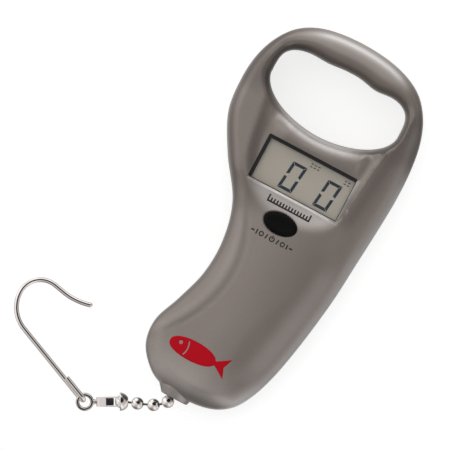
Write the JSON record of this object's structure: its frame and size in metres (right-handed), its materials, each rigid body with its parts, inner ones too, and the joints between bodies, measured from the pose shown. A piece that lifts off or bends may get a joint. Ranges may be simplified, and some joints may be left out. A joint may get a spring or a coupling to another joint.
{
  "type": "digital fish scale",
  "caption": "Hand-held hanging scale with a loop handle, display window, push button, and a ball chain with swivel and hook.",
  "frame": {"origin": "on the flat back face, on the load line through the chain outlet, at mid height of the housing", "axes": "+Z from the chain outlet to the handle (up when the scale hangs in the hand), +Y out of the flat back face, display faces -Y, +X to the right seen from the display side"},
  "size_m": [0.1452, 0.0331, 0.2267],
  "materials": {
    "body_front": "satin silver-grey paint over moulded plastic",
    "body_back": "satin silver-grey paint over moulded plastic",
    "door": "satin silver-grey paint over moulded plastic",
    "black_steel": "blackened screw",
    "window": "clear moulded window",
    "black_plastic": "black",
    "white_plastic": "white moulding",
    "lcd": "beige-grey reflective display",
    "elastomer": "layered connector rubber",
    "board": "green solder mask",
    "steel": "plain steel",
    "ceramic_chip": "fired ceramic",
    "button": "black, slightly glossy",
    "alloy": "milled",
    "gauge_foil": "amber film",
    "lead_red": "insulated wire",
    "lead_black": "insulated wire",
    "battery_case": "plain dark wrap",
    "nickel": "polished nickel plate",
    "pin_steel": "plated wire",
    "hook_nickel": "polished nickel plate"
  },
  "bodies": {
    "root": {"front_housing": "body_front", "back_housing": "body_back", "housing_screws": "black_steel", "display_lens": "window", "lens_gasket": "black_plastic", "lcd_holder": "white_plastic", "lcd_panel": "lcd", "zebra_strips": "elastomer", "main_board": "board", "board_screws": "steel", "controller_chip": "black_plastic", "crystal": "steel", "chip_capacitors": "ceramic_chip", "tact_switch": "black_plastic", "load_cell_beam": "alloy", "strain_gauges": "gauge_foil", "load_cell_screws": "steel", "load_cell_leads": "lead_red", "chain_anchor": "nickel", "anchor_nut": "steel", "battery": "battery_case", "battery_snap": "black_plastic", "battery_leads": "lead_black", "bead_top": "nickel"},
    "door": {"battery_door": "door"},
    "button": {"power_button": "button"},
    "plunger": {"switch_plunger": "black_plastic"},
    "link_1": {"link_1": "pin_steel"},
    "bead_1": {"bead_1": "nickel"},
    "link_2": {"link_2": "pin_steel"},
    "bead_2": {"bead_2": "nickel"},
    "link_3": {"link_3": "pin_steel"},
    "bead_3": {"bead_3": "nickel"},
    "link_4": {"link_4": "pin_steel"},
    "swivel": {"swivel_frame": "nickel", "bead_end": "nickel"},
    "eye": {"swivel_eye": "nickel"},
    "hook": {"hook": "hook_nickel"}
  },
  "joints": [
    {"name": "anchor_to_link_1", "type": "hinge", "parent": "root", "child": "link_1", "pos_m": [0, -0.014, -0.0964], "axis": [0.8807, 0.4736, 0], "range_deg": [-29, 8]},
    {"name": "link_1_to_bead_1", "type": "hinge", "parent": "link_1", "child": "bead_1", "pos_m": [-0.00053, -0.01301, -0.10148], "axis": [0.5112, 0.852, 0.1128], "range_deg": [-44, 1.8]},
    {"name": "bead_1_to_link_2", "type": "hinge", "parent": "bead_1", "child": "link_2", "pos_m": [-0.00191, -0.01183, -0.10411], "axis": [-0.5112, -0.852, -0.1128], "range_deg": [-1.8, 48.2]},
    {"name": "link_2_to_bead_2", "type": "hinge", "parent": "link_2", "child": "bead_2", "pos_m": [-0.0055, -0.00931, -0.10691], "axis": [-0.1037, 0.6695, 0.7355], "range_deg": [-35.2, 14.8]},
    {"name": "bead_2_to_link_3", "type": "hinge", "parent": "bead_2", "child": "link_3", "pos_m": [-0.00807, -0.0081, -0.10838], "axis": [0.1037, -0.6695, -0.7355], "range_deg": [-14.8, 35.2]},
    {"name": "link_3_to_bead_3", "type": "hinge", "parent": "link_3", "child": "bead_3", "pos_m": [-0.01273, -0.00676, -0.11026], "axis": [0.3746, 0, -0.9272], "range_deg": [-20, 20]},
    {"name": "bead_3_to_link_4", "type": "hinge", "parent": "bead_3", "child": "link_4", "pos_m": [-0.01565, -0.00612, -0.11139], "axis": [0, 1, 0], "range_deg": [-20, 20]},
    {"name": "link_4_to_swivel", "type": "hinge", "parent": "link_4", "child": "swivel", "pos_m": [-0.02048, -0.00539, -0.1132], "axis": [-0.342, -0.69, 0.6379], "range_deg": [-36.1, 13.9]},
    {"name": "swivel_spin", "type": "hinge", "parent": "swivel", "child": "eye", "pos_m": [-0.03775, -0.00539, -0.12246], "axis": [-0.8813, 0, -0.4726], "continuous": true},
    {"name": "hook_swing", "type": "hinge", "parent": "eye", "child": "hook", "pos_m": [-0.03775, -0.00539, -0.12246], "axis": [0, -1, 0], "range_deg": [-30, 100]},
    {"name": "button_press", "type": "slide", "parent": "root", "child": "button", "axis": [0, 1, 0], "range_m": [0, 0.0005], "stiffness_N_per_m": 400},
    {"name": "plunger_press", "type": "slide", "parent": "root", "child": "plunger", "axis": [0, 1, 0], "range_m": [0, 0.0005]},
    {"name": "battery_door_lift", "type": "slide", "parent": "root", "child": "door", "axis": [0, 1, 0], "range_m": [0, 0.03]}
  ],
  "couplings": [
    {"joint": "plunger_press", "follows": "button_press", "ratio": 1}
  ]
}
